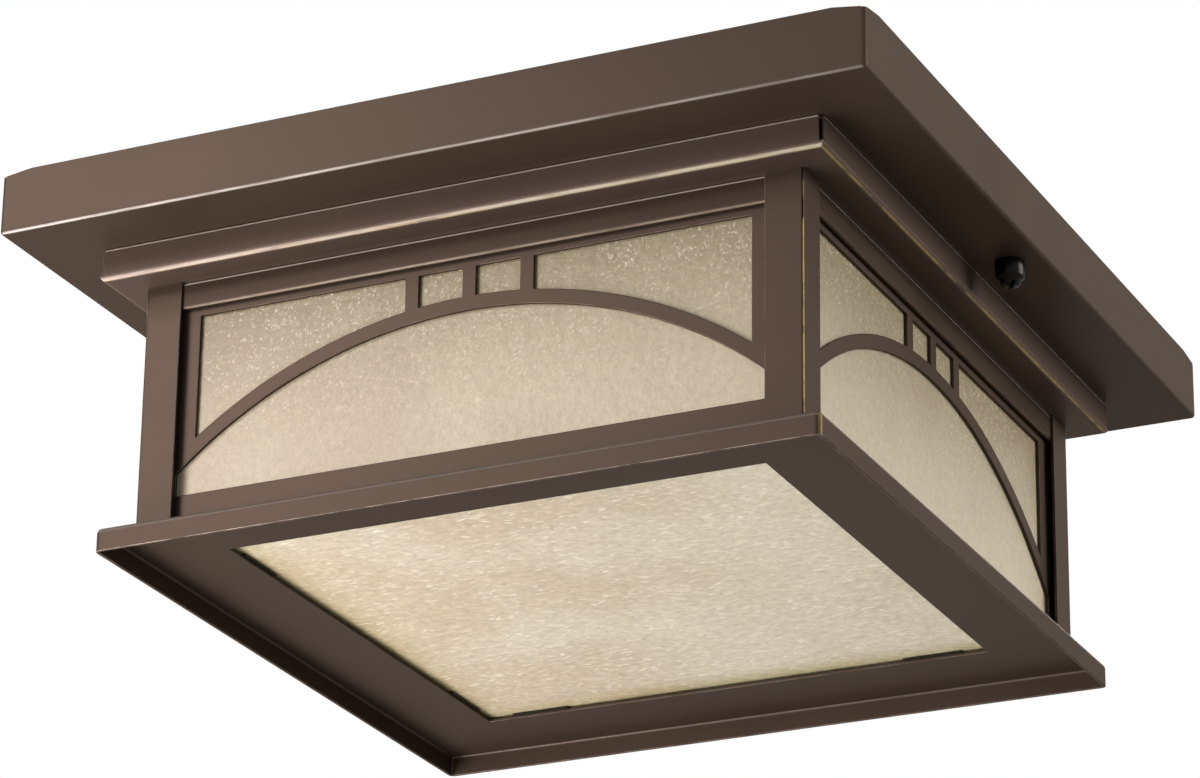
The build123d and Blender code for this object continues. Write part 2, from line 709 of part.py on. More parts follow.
for lamp, turn in lamp_turns.items():
    # Bracket: an angle hanging from the reflector, with the lampholder screwed to its leg
    bracket_top = reflector_bottom - lamp_level
    with BuildPart() as socket_bracket:
        with BuildSketch(lamp_plane(turn)):
            with Locations((socket_back, bracket_top)):
                Rectangle(bracket_sheet, bracket_top + bracket_below, align=(Align.MAX, Align.MAX))
            with Locations((socket_back - bracket_sheet, bracket_top)):
                Rectangle(bracket_foot, bracket_sheet, align=(Align.MIN, Align.MAX))
        extrude(amount=bracket_width / 2, both=True)
        with BuildSketch(axis_plane(turn, socket_back)):
            with Locations(*socket_screw_points):
                Circle(screw_radius + fit)
        extrude(amount=bracket_sheet, mode=Mode.SUBTRACT)
        with BuildSketch(Plane.XY.offset(reflector_bottom)):
            with Locations(*bracket_screw_points):
                Circle(screw_radius + fit)
        extrude(amount=-bracket_sheet, mode=Mode.SUBTRACT)
    keep(socket_bracket, f"{lamp}_socket_bracket")

    # Lampholder body of porcelain, stepped down at its tail, with a plain bore
    with BuildPart() as socket_body:
        with BuildSketch(lamp_plane(turn)):
            with BuildLine():
                Polyline(
                    (socket_back, 0),
                    (socket_back, socket_tail_radius),
                    (socket_back + socket_tail_length, socket_tail_radius),
                    (socket_back + socket_tail_length, socket_radius),
                    (socket_mouth, socket_radius),
                    (socket_mouth, socket_bore_radius),
                    (bore_bottom, socket_bore_radius),
                    (bore_bottom, 0),
                    close=True,
                )
            make_face()
        revolve(axis=lamp_axis(turn))
        fillet(socket_body.edges().filter_by(GeomType.CIRCLE).group_by(SortBy.RADIUS)[-1], socket_round)
        with BuildSketch(axis_plane(turn, socket_back)):
            with Locations(*socket_screw_points):
                Circle(screw_radius + fit)
        extrude(amount=-socket_screw_depth, mode=Mode.SUBTRACT)
    keep(socket_body, f"{lamp}_socket_body")

    # Screw shell: a thin metal cup in the bore, with an eye for the centre contact
    shell_radius = socket_bore_radius - fit
    with BuildPart() as screw_shell:
        with BuildSketch(axis_plane(turn, bore_bottom)):
            Circle(shell_radius)
            Circle(shell_eye_radius, mode=Mode.SUBTRACT)
        extrude(amount=-shell_wall)
        with BuildSketch(axis_plane(turn, bore_bottom)):
            Circle(shell_radius)
            Circle(shell_radius - shell_wall, mode=Mode.SUBTRACT)
        extrude(amount=shell_mouth - socket_bore_depth)
    keep(screw_shell, f"{lamp}_screw_shell")

    # Centre contact: a spring tongue bent up towards the lamp
    tongue = bore_bottom + contact_rise
    with BuildPart() as centre_contact:
        with BuildSketch(lamp_plane(turn)):
            with BuildLine():
                Polyline(
                    (bore_bottom, -contact_half),
                    (bore_bottom, contact_half),
                    (bore_bottom + contact_sheet, contact_half),
                    (bore_bottom + contact_sheet, contact_sheet - contact_half),
                    (tongue, 0),
                    (tongue, contact_tip),
                    (tongue + contact_sheet, contact_tip),
                    (tongue + contact_sheet, -contact_sheet),
                    (bore_bottom + 2 * contact_sheet, -contact_half),
                    close=True,
                )
            make_face()
        extrude(amount=contact_width / 2, both=True)
    keep(centre_contact, f"{lamp}_centre_contact")

    # Lamp foot: the insulator with the solder tip
    with BuildPart() as lamp_foot_piece:
        with BuildSketch(lamp_plane(turn)):
            with BuildLine():
                Polyline(
                    (lamp_tip, 0),
                    (lamp_tip, lamp_tip_radius),
                    (lamp_foot, lamp_tip_radius),
                    (lamp_cap, lamp_cap_radius - lamp_cap_wall),
                    (lamp_cap, 0),
                    close=True,
                )
            make_face()
        revolve(axis=lamp_axis(turn))
    keep(lamp_foot_piece, f"{lamp}_lamp_foot")

    # Lamp cap: a thin cup with a closed end and rolled ridges
    with BuildPart() as lamp_cap_piece:
        with BuildSketch(lamp_plane(turn)):
            with Locations((lamp_cap, 0)):
                Rectangle(lamp_cap_length, lamp_cap_radius, align=(Align.MIN, Align.MIN))
            with Locations((lamp_cap + lamp_cap_length / 2, lamp_cap_radius)):
                with GridLocations(thread_pitch, 0, thread_count, 1):
                    Circle(thread_round)
            with Locations((lamp_cap + lamp_cap_wall, 0)):
                Rectangle(
                    lamp_cap_length,
                    lamp_cap_radius - lamp_cap_wall,
                    align=(Align.MIN, Align.MIN),
                    mode=Mode.SUBTRACT,
                )
        revolve(axis=lamp_axis(turn))
    keep(lamp_cap_piece, f"{lamp}_lamp_cap")

    # Lamp bulb: a thin glass envelope whose neck stands in the cap
    with BuildPart() as lamp_bulb:
        with BuildSketch(lamp_plane(turn)):
            with BuildLine():
                neck_start = lamp_rim - neck_insert
                neck_end = lamp_rim + neck_length
                inner_neck = neck_radius - bulb_wall
                inner_bulb = bulb_radius - bulb_wall
                Line((neck_start, inner_neck), (neck_start, neck_radius))
                Line((neck_start, neck_radius), (neck_end, neck_radius))
                Spline((neck_end, neck_radius), (bulb_middle, bulb_radius), tangents=[(1, 0), (1, 0)])
                RadiusArc((bulb_middle, bulb_radius), (bulb_middle + bulb_radius, 0), bulb_radius)
                Line((bulb_middle + bulb_radius, 0), (bulb_middle + inner_bulb, 0))
                RadiusArc((bulb_middle + inner_bulb, 0), (bulb_middle, inner_bulb), -inner_bulb)
                Spline((bulb_middle, inner_bulb), (neck_end, inner_neck), tangents=[(-1, 0), (-1, 0)])
                Line((neck_end, inner_neck), (neck_start, inner_neck))
            make_face()
        revolve(axis=lamp_axis(turn))
    keep(lamp_bulb, f"{lamp}_lamp_bulb")

# Screws that hold the lampholders to their brackets, driven from behind
with BuildPart() as socket_screws:
    for turn in lamp_turns.values():
        with BuildSketch(axis_plane(turn, socket_back - bracket_sheet)):
            with Locations(*socket_screw_points):
                Circle(screw_head_radius)
        extrude(amount=screw_head_height)
        with BuildSketch(axis_plane(turn, socket_back - bracket_sheet)):
            with Locations(*socket_screw_points):
                Circle(screw_radius)
        extrude(amount=fit - bracket_sheet - socket_screw_depth)
keep(socket_screws, "socket_screws")
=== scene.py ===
import json
import math

import bmesh
import bpy
from mathutils import Matrix, Quaternion, Vector, noise


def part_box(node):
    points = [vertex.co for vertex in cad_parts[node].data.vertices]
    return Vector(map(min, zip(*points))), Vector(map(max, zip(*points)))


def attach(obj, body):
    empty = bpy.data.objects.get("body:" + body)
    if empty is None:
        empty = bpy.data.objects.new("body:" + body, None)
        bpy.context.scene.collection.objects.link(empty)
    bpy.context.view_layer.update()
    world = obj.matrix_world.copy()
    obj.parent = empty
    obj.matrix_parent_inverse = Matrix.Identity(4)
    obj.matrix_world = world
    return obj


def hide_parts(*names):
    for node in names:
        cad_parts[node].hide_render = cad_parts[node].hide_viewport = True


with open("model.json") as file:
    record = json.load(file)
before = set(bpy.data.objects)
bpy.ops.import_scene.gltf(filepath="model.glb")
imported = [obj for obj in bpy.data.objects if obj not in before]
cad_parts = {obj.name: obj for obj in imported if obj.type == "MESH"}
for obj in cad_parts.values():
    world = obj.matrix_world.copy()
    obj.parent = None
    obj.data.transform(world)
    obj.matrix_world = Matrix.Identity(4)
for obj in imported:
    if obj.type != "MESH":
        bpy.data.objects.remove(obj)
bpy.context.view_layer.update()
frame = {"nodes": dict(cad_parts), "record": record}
scene = bpy.context.scene
scene.view_settings.view_transform = "Standard"
millimetre = 0.001


# sRGB hex to the linear colour that the shaders take
def linear(hexColour):
    parts = [int(hexColour[at:at + 2], 16) / 255 for at in (1, 3, 5)]
    return [part / 12.92 if part <= 0.04045 else ((part + 0.055) / 1.055) ** 2.4 for part in parts] + [1.0]


# Adds one shader node: a key is a setting, or an input by name or number that takes a value or a link.
# A Mix of colours takes its share at input 0 and its colours at 6 and 7, and gives its result at output 2
def addNode(tree, kind, settings=None):
    node = tree.nodes.new("ShaderNode" + kind)
    inputs = {}
    for key, value in (settings or {}).items():
        if isinstance(key, str) and hasattr(node, key):
            setattr(node, key, value)
        else:
            inputs[key] = value
    for key, value in inputs.items():
        if isinstance(value, bpy.types.NodeSocket):
            tree.links.new(value, node.inputs[key])
        else:
            node.inputs[key].default_value = value
    return node


# An empty material with its shader, and the Object coordinates that its patterns follow
def newMaterial(name, settings):
    material = bpy.data.materials.new(name)
    material.use_nodes = True
    tree = material.node_tree
    tree.nodes.clear()
    shader = addNode(tree, "BsdfPrincipled", settings)
    addNode(tree, "OutputMaterial", {"Surface": shader.outputs[0]})
    place = addNode(tree, "TexCoord")
    return material, tree, shader, place


# How many pattern cells fit in a metre, for a cell of this size in millimetres
def perMetre(cellSize):
    return 1 / (cellSize * millimetre)


# Camera, at the photograph's viewing angle: below the light, in front of it and to its right
viewpoint = {
    "place": (0.6464, -1.3635, -0.6718),
    "aim": (-0.0085, 0.0016, -0.0415),
    "roll": 0.81,
    "lens": 145.245,
    "sensor": 36,
}
cameraData = bpy.data.cameras.new("viewCamera")
cameraData.sensor_fit = "HORIZONTAL"
cameraData.sensor_width = viewpoint["sensor"]
cameraData.lens = viewpoint["lens"]
camera = bpy.data.objects.new("viewCamera", cameraData)
scene.collection.objects.link(camera)
camera.location = viewpoint["place"]
camera.rotation_mode = "QUATERNION"
lookAlong = Vector(viewpoint["aim"]) - Vector(viewpoint["place"])
rollTurn = Quaternion((0, 0, 1), math.radians(viewpoint["roll"]))
camera.rotation_quaternion = lookAlong.to_track_quat("-Z", "Y") @ rollTurn
scene.camera = camera

# Studio: a white room for the camera, dimmer for what gloss and glass see, and softer light for the rest
studio = {
    "white": "#FFFFFF",
    "ambient": 0.31,
    "ambientColour": "#FFFAF4",
    "mirrored": 0.6,
    "floorLevel": -2.4,
    "floorSize": 40,
    "floorColour": "#ECEAE6",
    "floorRoughness": 0.9,
    "floorGlow": 0.55,
}


# How white the background is for a ray: wholly for the camera, in part for a gloss or a glass
def backgroundRays(tree):
    ray = addNode(tree, "LightPath")
    glossOrGlass = addNode(tree, "Math", {
        "operation": "MAXIMUM", 0: ray.outputs["Is Glossy Ray"], 1: ray.outputs["Is Transmission Ray"]})
    mirrored = addNode(tree, "Math", {
        "operation": "MULTIPLY", 0: glossOrGlass.outputs[0], 1: studio["mirrored"]})
    anySeen = addNode(tree, "Math", {
        "operation": "MAXIMUM", 0: mirrored.outputs[0], 1: ray.outputs["Is Camera Ray"]})
    return anySeen.outputs[0]


world = bpy.data.worlds.new("studio")
scene.world = world
world.use_nodes = True
worldTree = world.node_tree
worldTree.nodes.clear()
ambient = addNode(worldTree, "Background", {
    "Color": linear(studio["ambientColour"]), "Strength": studio["ambient"]})
white = addNode(worldTree, "Background", {"Color": linear(studio["white"]), "Strength": 1.0})
room = addNode(worldTree, "MixShader", {
    0: backgroundRays(worldTree), 1: ambient.outputs[0], 2: white.outputs[0]})
addNode(worldTree, "OutputWorld", {"Surface": room.outputs[0]})

# Pale floor far below the light, which glows white for the same rays
floorMaterial, floorTree, floorShader = newMaterial("paleFloor", {
    "Base Color": linear(studio["floorColour"]), "Roughness": studio["floorRoughness"]})[:3]
floorShare = addNode(floorTree, "Math", {
    "operation": "MULTIPLY", 0: backgroundRays(floorTree), 1: studio["floorGlow"]})
floorGlow = addNode(floorTree, "Emission", {"Color": linear(studio["white"]), "Strength": 1.0})
floorMix = addNode(floorTree, "MixShader", {
    0: floorShare.outputs[0], 1: floorShader.outputs[0], 2: floorGlow.outputs[0]})
floorTree.links.new(floorMix.outputs[0], floorTree.nodes["Material Output"].inputs["Surface"])
floorMesh = bmesh.new()
bmesh.ops.create_grid(floorMesh, x_segments=1, y_segments=1, size=studio["floorSize"] / 2)
bmesh.ops.translate(floorMesh, verts=floorMesh.verts, vec=(0, 0, studio["floorLevel"]))
floorData = bpy.data.meshes.new("floor")
floorMesh.to_mesh(floorData)
floorMesh.free()
floor = bpy.data.objects.new("floor", floorData)
scene.collection.objects.link(floor)
floorData.materials.append(floorMaterial)

# Soft lamps: the key stands high at the front left, where the front faces mirror it towards the camera,
# the left one and the low one light the front and the undersides, the under one stands near the left corner,
# and the others fill the right side and the back
lamps = {
    "keyLamp": {"place": (-0.57, -0.90, 0.32), "size": 0.4, "power": 3.8, "colour": "#FFF8F3"},
    "leftLamp": {"place": (-0.42, -0.78, -0.30), "size": 0.5, "power": 4.6, "colour": "#FFF7F2"},
    "lowLamp": {"place": (-0.36, -0.62, -0.95), "size": 0.6, "power": 2.4, "colour": "#FFFAF6"},
    "underLamp": {"place": (-0.45, -0.15, -0.45), "size": 0.35, "power": 3.2, "colour": "#FFF7F2"},
    "backLamp": {"place": (-0.20, 0.90, -0.75), "size": 0.6, "power": 0.25, "colour": "#FFF8F3"},
    "sideLamp": {"place": (1.00, 0.30, 0.15), "size": 0.6, "power": 7.3, "colour": "#FFF8F0"},
    "rearLamp": {"place": (-0.35, 1.20, 0.50), "size": 0.7, "power": 7.0, "colour": "#FFF8F3"},
}
lampAim = Vector((0, 0, -0.07))  # near the middle of the object
for lampName, lamp in lamps.items():
    lampData = bpy.data.lights.new(lampName, "AREA")
    lampData.shape = "DISK"
    lampData.size = lamp["size"]
    lampData.energy = lamp["power"]
    lampData.color = linear(lamp["colour"])[:3]
    lampObject = bpy.data.objects.new(lampName, lampData)
    scene.collection.objects.link(lampObject)
    lampObject.location = lamp["place"]
    lampObject.rotation_mode = "QUATERNION"
    lampObject.rotation_quaternion = (lampAim - Vector(lamp["place"])).to_track_quat("-Z", "Y")
print("camera, studio and lamps are in place")

# Bronze powder paint with metal flake on folded steel: satin, its flake mirrors the lamps in brown.
# Front bends carry a pale band, partly rub-through and partly a painted highlight, whose tone changes from
# left to right and on most pieces is lighter at the left, where the light comes from. Other bends are rubbed
# to gold. Lips and cut edges turn pale grey, partly rub-through and partly painted highlight, and upright
# folds carry a painted dark line of shade beside their gold rub. Pattern sizes and places are in
# millimetres, and a rub runs from its start to where it is full
bronze = {
    "gold": "#AE975C",
    "pale": "#CDBEB3",
    # near white of the top lips: rub-through with a painted highlight
    "lip": "#F4E9E3",
    # painted shade: the dark line beside a fold's gold
    "foldShade": "#17120F",
    "edgeTint": "#C3BCB3",
    "specular": 0.1,
    "flake": 0.45,
    "rubbedFlake": 0.25,
    "roughness": 0.42,
    "roughnessDrift": 0.05,
    "cloud": 45,
    "peel": 1.1,
    "peelDepth": 0.02,
    "peelStrength": 0.35,
    "frontBendStart": 0.32,
    "frontBendFull": 0.5,
    "frontReach": 128,
    "bendStart": 0.31,
    "bendFull": 0.37,
    "foldGoldStart": 0.18,
    "foldGoldFull": 0.34,
    "foldDarkStart": 0.22,
    "foldDarkFull": 0.36,
    "foldFade": 1,
    "lipStart": 0.06,
    "lipFull": 0.26,
    "edgeWidth": 0.45,
    "edgeStart": 0.98,
    "edgeFull": 0.85,
    "edgeBack": 0.3,
    "edgeBackPlace": -105,
    "edgeFrontPlace": -118,
    "rubPatch": 14,
    "brokenStart": 0.36,
    "brokenFull": 0.58,
    "streak": 1.2,
    "streakDraw": 0.06,
    "streakStart": 0.3,
    "streakFull": 0.6,
    "streakLeast": 0.4,
}


def bronzePaint(name, wearAndLight):
    material, tree, shader, place = newMaterial(name, {
        "Specular IOR Level": bronze["specular"], "Specular Tint": linear(bronze["edgeTint"])})
    cloud = addNode(tree, "TexNoise", {
        "Vector": place.outputs["Object"], "Scale": perMetre(bronze["cloud"]), "Detail": 4.0})
    paint = addNode(tree, "Mix", {
        "data_type": "RGBA", 0: cloud.outputs["Fac"],
        6: linear(wearAndLight["darkBrown"]), 7: linear(wearAndLight["brown"])})
    # The way a face looks tells flat faces from bends: level ones, upright folds and top lips
    facing = addNode(tree, "SeparateXYZ", {0: place.outputs["Normal"]})
    spot = addNode(tree, "SeparateXYZ", {0: place.outputs["Object"]})
    alongX = addNode(tree, "Math", {"operation": "ABSOLUTE", 0: facing.outputs["X"]})
    alongY = addNode(tree, "Math", {"operation": "ABSOLUTE", 0: facing.outputs["Y"]})
    sideways = addNode(tree, "Math", {"operation": "MAXIMUM", 0: alongX.outputs[0], 1: alongY.outputs[0]})
    downward = addNode(tree, "Math", {"operation": "MULTIPLY", 0: facing.outputs["Z"], 1: -1.0})
    bend = addNode(tree, "Math", {"operation": "MULTIPLY", 0: downward.outputs[0], 1: sideways.outputs[0]})
    # Level bends: broad on the front, where rub-through and a painted highlight share a tone that runs from
    # left to right, and narrow elsewhere, where they are rubbed
    broadBend = addNode(tree, "MapRange", {
        "interpolation_type": "SMOOTHSTEP", "Value": bend.outputs[0],
        "From Min": bronze["frontBendStart"], "From Max": bronze["frontBendFull"],
        "To Max": wearAndLight["frontBend"]})
    forward = addNode(tree, "Math", {"operation": "MULTIPLY", 0: facing.outputs["Y"], 1: -1.0})
    onFront = addNode(tree, "Math", {
        "operation": "GREATER_THAN", 0: forward.outputs[0], 1: alongX.outputs[0]})
    frontMask = addNode(tree, "Math", {
        "operation": "MULTIPLY", 0: broadBend.outputs[0], 1: onFront.outputs[0]})
    along = addNode(tree, "MapRange", {
        "Value": spot.outputs["X"], "From Min": -bronze["frontReach"] * millimetre,
        "From Max": bronze["frontReach"] * millimetre})
    frontRubAndHighlightTone = addNode(tree, "Mix", {
        "data_type": "RGBA", 0: along.outputs[0],
        6: linear(wearAndLight["frontLeft"]), 7: linear(wearAndLight["frontRight"])})
    steep = addNode(tree, "Math", {"operation": "MULTIPLY", 0: bend.outputs[0], 1: downward.outputs[0]})
    narrowBend = addNode(tree, "MapRange", {
        "interpolation_type": "SMOOTHSTEP", "Value": steep.outputs[0],
        "From Min": bronze["bendStart"], "From Max": bronze["bendFull"], "To Max": wearAndLight["bend"]})
    # Upright folds: gold rub on the half that faces sideways, and a painted dark line of shade on the half
    # that faces front or back
    across = addNode(tree, "Math", {"operation": "MULTIPLY", 0: alongX.outputs[0], 1: alongY.outputs[0]})
    foldSide = addNode(tree, "Math", {"operation": "MULTIPLY", 0: across.outputs[0], 1: alongX.outputs[0]})
    foldFront = addNode(tree, "Math", {"operation": "MULTIPLY", 0: across.outputs[0], 1: alongY.outputs[0]})
    foldTop = addNode(tree, "MapRange", {
        "Value": spot.outputs["Z"], "From Min": (wearAndLight["foldTop"] + bronze["foldFade"]) * millimetre,
        "From Max": (wearAndLight["foldTop"] - bronze["foldFade"]) * millimetre, "To Max": wearAndLight["fold"]})
    foldReach = addNode(tree, "MapRange", {
        "Value": spot.outputs["Z"], "From Min": (wearAndLight["foldFoot"] - bronze["foldFade"]) * millimetre,
        "From Max": (wearAndLight["foldFoot"] + bronze["foldFade"]) * millimetre, "To Max": foldTop.outputs[0]})
    foldGold = addNode(tree, "MapRange", {
        "interpolation_type": "SMOOTHSTEP", "Value": foldSide.outputs[0],
        "From Min": bronze["foldGoldStart"], "From Max": bronze["foldGoldFull"],
        "To Max": foldReach.outputs[0]})
    foldDark = addNode(tree, "MapRange", {
        "interpolation_type": "SMOOTHSTEP", "Value": foldFront.outputs[0],
        "From Min": bronze["foldDarkStart"], "From Max": bronze["foldDarkFull"], "To Max": wearAndLight["fold"]})
    # Top lips are painted near white: partly rub-through, partly a painted highlight on the rounded fold
    lip = addNode(tree, "Math", {"operation": "MULTIPLY", 0: facing.outputs["Z"], 1: sideways.outputs[0]})
    lipRubAndHighlightMask = addNode(tree, "MapRange", {
        "interpolation_type": "SMOOTHSTEP", "Value": lip.outputs[0],
        "From Min": bronze["lipStart"], "From Max": bronze["lipFull"], "To Max": wearAndLight["lip"]})
    # Cut edges turn pale where a slightly rounded normal differs from the true one: partly rub-through,
    # partly a painted highlight, strongest at the front, where the light falls
    rounded = addNode(tree, "Bevel", {"samples": 6, "Radius": bronze["edgeWidth"] * millimetre})
    trueNormal = addNode(tree, "NewGeometry")
    agree = addNode(tree, "VectorMath", {
        "operation": "DOT_PRODUCT", 0: rounded.outputs[0], 1: trueNormal.outputs["Normal"]})
    edgeMask = addNode(tree, "MapRange", {
        "interpolation_type": "SMOOTHSTEP", "Value": agree.outputs["Value"],
        "From Min": bronze["edgeStart"], "From Max": bronze["edgeFull"], "To Max": wearAndLight["edge"]})
    atFront = addNode(tree, "MapRange", {
        "Value": spot.outputs["Y"], "From Min": bronze["edgeBackPlace"] * millimetre,
        "From Max": bronze["edgeFrontPlace"] * millimetre, "To Min": bronze["edgeBack"]})
    # Rubbing comes and goes along a bend, and the rub and painted highlight of a front bend are drawn out
    # along it
    patch = addNode(tree, "TexNoise", {
        "Vector": place.outputs["Object"], "Scale": perMetre(bronze["rubPatch"]), "Detail": 6.0,
        "Roughness": 0.7})
    broken = addNode(tree, "MapRange", {
        "interpolation_type": "SMOOTHSTEP", "Value": patch.outputs["Fac"],
        "From Min": bronze["brokenStart"], "From Max": bronze["brokenFull"]})
    drawnOut = addNode(tree, "VectorMath", {
        "operation": "MULTIPLY", 0: place.outputs["Object"], 1: (bronze["streakDraw"], 1.0, 1.0)})
    streak = addNode(tree, "TexNoise", {
        "Vector": drawnOut.outputs[0], "Scale": perMetre(bronze["streak"]), "Detail": 4.0})
    nearlyWhole = addNode(tree, "MapRange", {
        "interpolation_type": "SMOOTHSTEP", "Value": streak.outputs["Fac"],
        "From Min": bronze["streakStart"], "From Max": bronze["streakFull"],
        "To Min": bronze["streakLeast"]})
    goldMask = addNode(tree, "Math", {
        "operation": "MAXIMUM", 0: narrowBend.outputs[0], 1: foldGold.outputs[0]})
    goldRub = addNode(tree, "Math", {
        "operation": "MULTIPLY", 0: goldMask.outputs[0], 1: broken.outputs[0]})
    frontRubAndHighlight = addNode(tree, "Math", {
        "operation": "MULTIPLY", 0: frontMask.outputs[0], 1: nearlyWhole.outputs[0]})
    edgeBroken = addNode(tree, "Math", {
        "operation": "MULTIPLY", 0: edgeMask.outputs[0], 1: broken.outputs[0]})
    edgeRubAndHighlight = addNode(tree, "Math", {
        "operation": "MULTIPLY", 0: edgeBroken.outputs[0], 1: atFront.outputs[0]})
    # Layers over the paint: a painted dark line of shade in the folds, pale edges and lips that are partly
    # rubbed and partly painted highlight, gold rub, and the front bends' rub with its painted highlight
    layers = [
        (foldDark.outputs[0], linear(bronze["foldShade"])),
        (edgeRubAndHighlight.outputs[0], linear(bronze["pale"])),
        (lipRubAndHighlightMask.outputs[0], linear(bronze["lip"])),
        (goldRub.outputs[0], linear(bronze["gold"])),
        (frontRubAndHighlight.outputs[0], frontRubAndHighlightTone.outputs[2]),
    ]
    colour = paint.outputs[2]
    for share, tone in layers:
        layer = addNode(tree, "Mix", {"data_type": "RGBA", 0: share, 6: colour, 7: tone})
        colour = layer.outputs[2]
    tree.links.new(colour, shader.inputs["Base Color"])
    # Less flake is left where the paint is rubbed and under the painted highlight of the front bends, and
    # its face has a slight orange peel
    rubAndHighlight = addNode(tree, "Math", {"operation": "MAXIMUM", 0: goldRub.outputs[0], 1: frontRubAndHighlight.outputs[0]})
    metal = addNode(tree, "MapRange", {
        "Value": rubAndHighlight.outputs[0], "To Min": bronze["flake"], "To Max": bronze["rubbedFlake"]})
    tree.links.new(metal.outputs[0], shader.inputs["Metallic"])
    gloss = addNode(tree, "MapRange", {
        "Value": cloud.outputs["Fac"], "To Min": bronze["roughness"] - bronze["roughnessDrift"],
        "To Max": bronze["roughness"] + bronze["roughnessDrift"]})
    tree.links.new(gloss.outputs[0], shader.inputs["Roughness"])
    peel = addNode(tree, "TexNoise", {
        "Vector": place.outputs["Object"], "Scale": perMetre(bronze["peel"]), "Detail": 2.0})
    orangePeel = addNode(tree, "Bump", {
        "Strength": bronze["peelStrength"], "Distance": bronze["peelDepth"] * millimetre,
        "Height": peel.outputs["Fac"], "Normal": rounded.outputs[0]})
    tree.links.new(orangePeel.outputs[0], shader.inputs["Normal"])
    return material


# Wear and painted light of each folded piece: its two browns, and how strong the rub and painted highlight
# on its cut edges, lips and bends and the rub and painted shade on its folds are, with the levels that a
# rubbed fold runs between. A piece that names none has none, as the plain defaults above say
plainWearAndLight = {
    "lip": 0.0, "bend": 0.0, "frontBend": 0.0, "frontLeft": bronze["pale"], "frontRight": bronze["pale"],
    "fold": 0.0, "foldTop": 0, "foldFoot": 0,
}
bronzeWearAndLight = {
    "canopy_pan": {
        "brown": "#4F433B", "darkBrown": "#473B34", "edge": 0.2,
        "frontBend": 0.7, "frontLeft": "#C8C2C0", "frontRight": "#898580"},
    # Painted light: the collar's browns are about half again as light as the other pieces', to make up for
    # the shade that the pan casts on it
    "step_collar": {
        "brown": "#5F514A", "darkBrown": "#564943", "edge": 0.4, "lip": 1.0, "bend": 0.65,
        "frontBend": 0.9, "frontLeft": "#ACA09B", "frontRight": "#B3AD9A"},
    "bottom_tray": {
        "brown": "#4E423A", "darkBrown": "#463A33", "edge": 0.8, "lip": 0.12,
        "frontBend": 0.1, "frontLeft": "#D6C7BD", "frontRight": "#A39486",
        "fold": 0.35, "foldTop": -116, "foldFoot": -130},
    "post": {
        "brown": "#4F433B", "darkBrown": "#473B34", "edge": 0.4,
        "fold": 1.0, "foldTop": -38, "foldFoot": -116},
    "top_rail": {
        "brown": "#4A3E36", "darkBrown": "#433831", "edge": 0.4, "lip": 1.0, "bend": 0.2,
        "frontBend": 0.4, "frontLeft": "#CDBEB4", "frontRight": "#A0938A"},
    "lattice": {"brown": "#51443C", "darkBrown": "#493D36", "edge": 0.3},
}
bronzePieces = {}
for pieceName, wearAndLight in bronzeWearAndLight.items():
    bronzePieces[pieceName] = bronzePaint("bronzePaint_" + pieceName, {**plainWearAndLight, **wearAndLight})

# Rolled cream art glass: milky in the mass, with a mottled face whose small lumps glint, and pale flecks
# that are partly seeds and partly painted glints. Pattern sizes are in millimetres
glass = {
    "seedGlint": "#FBF5E9",
    "ior": 1.5,
    "roughness": 0.3,
    "specular": 0.2,
    "transmission": 0.06,
    "scatter": 0.3,
    "scatterDepth": 1.5,
    "cloud": 52,
    "driftReach": 100,
    "driftSlope": 0.15,
    "driftStart": 0.3,
    "driftFull": 0.7,
    "grain": 1.1,
    "blotch": 2.8,
    "mottleStart": 0.65,
    "mottleFull": 1.35,
    "seedPatch": 24,
    "swirl": 3.0,
    "swirlReach": 5.0,
    "seedRim": 0.52,
    "seedCore": 0.12,
    "ripple": 4.5,
    "lumpHeight": 0.4,
    "seedHeight": 0.4,
    "relief": 0.25,
    "reliefStrength": 0.8,
}


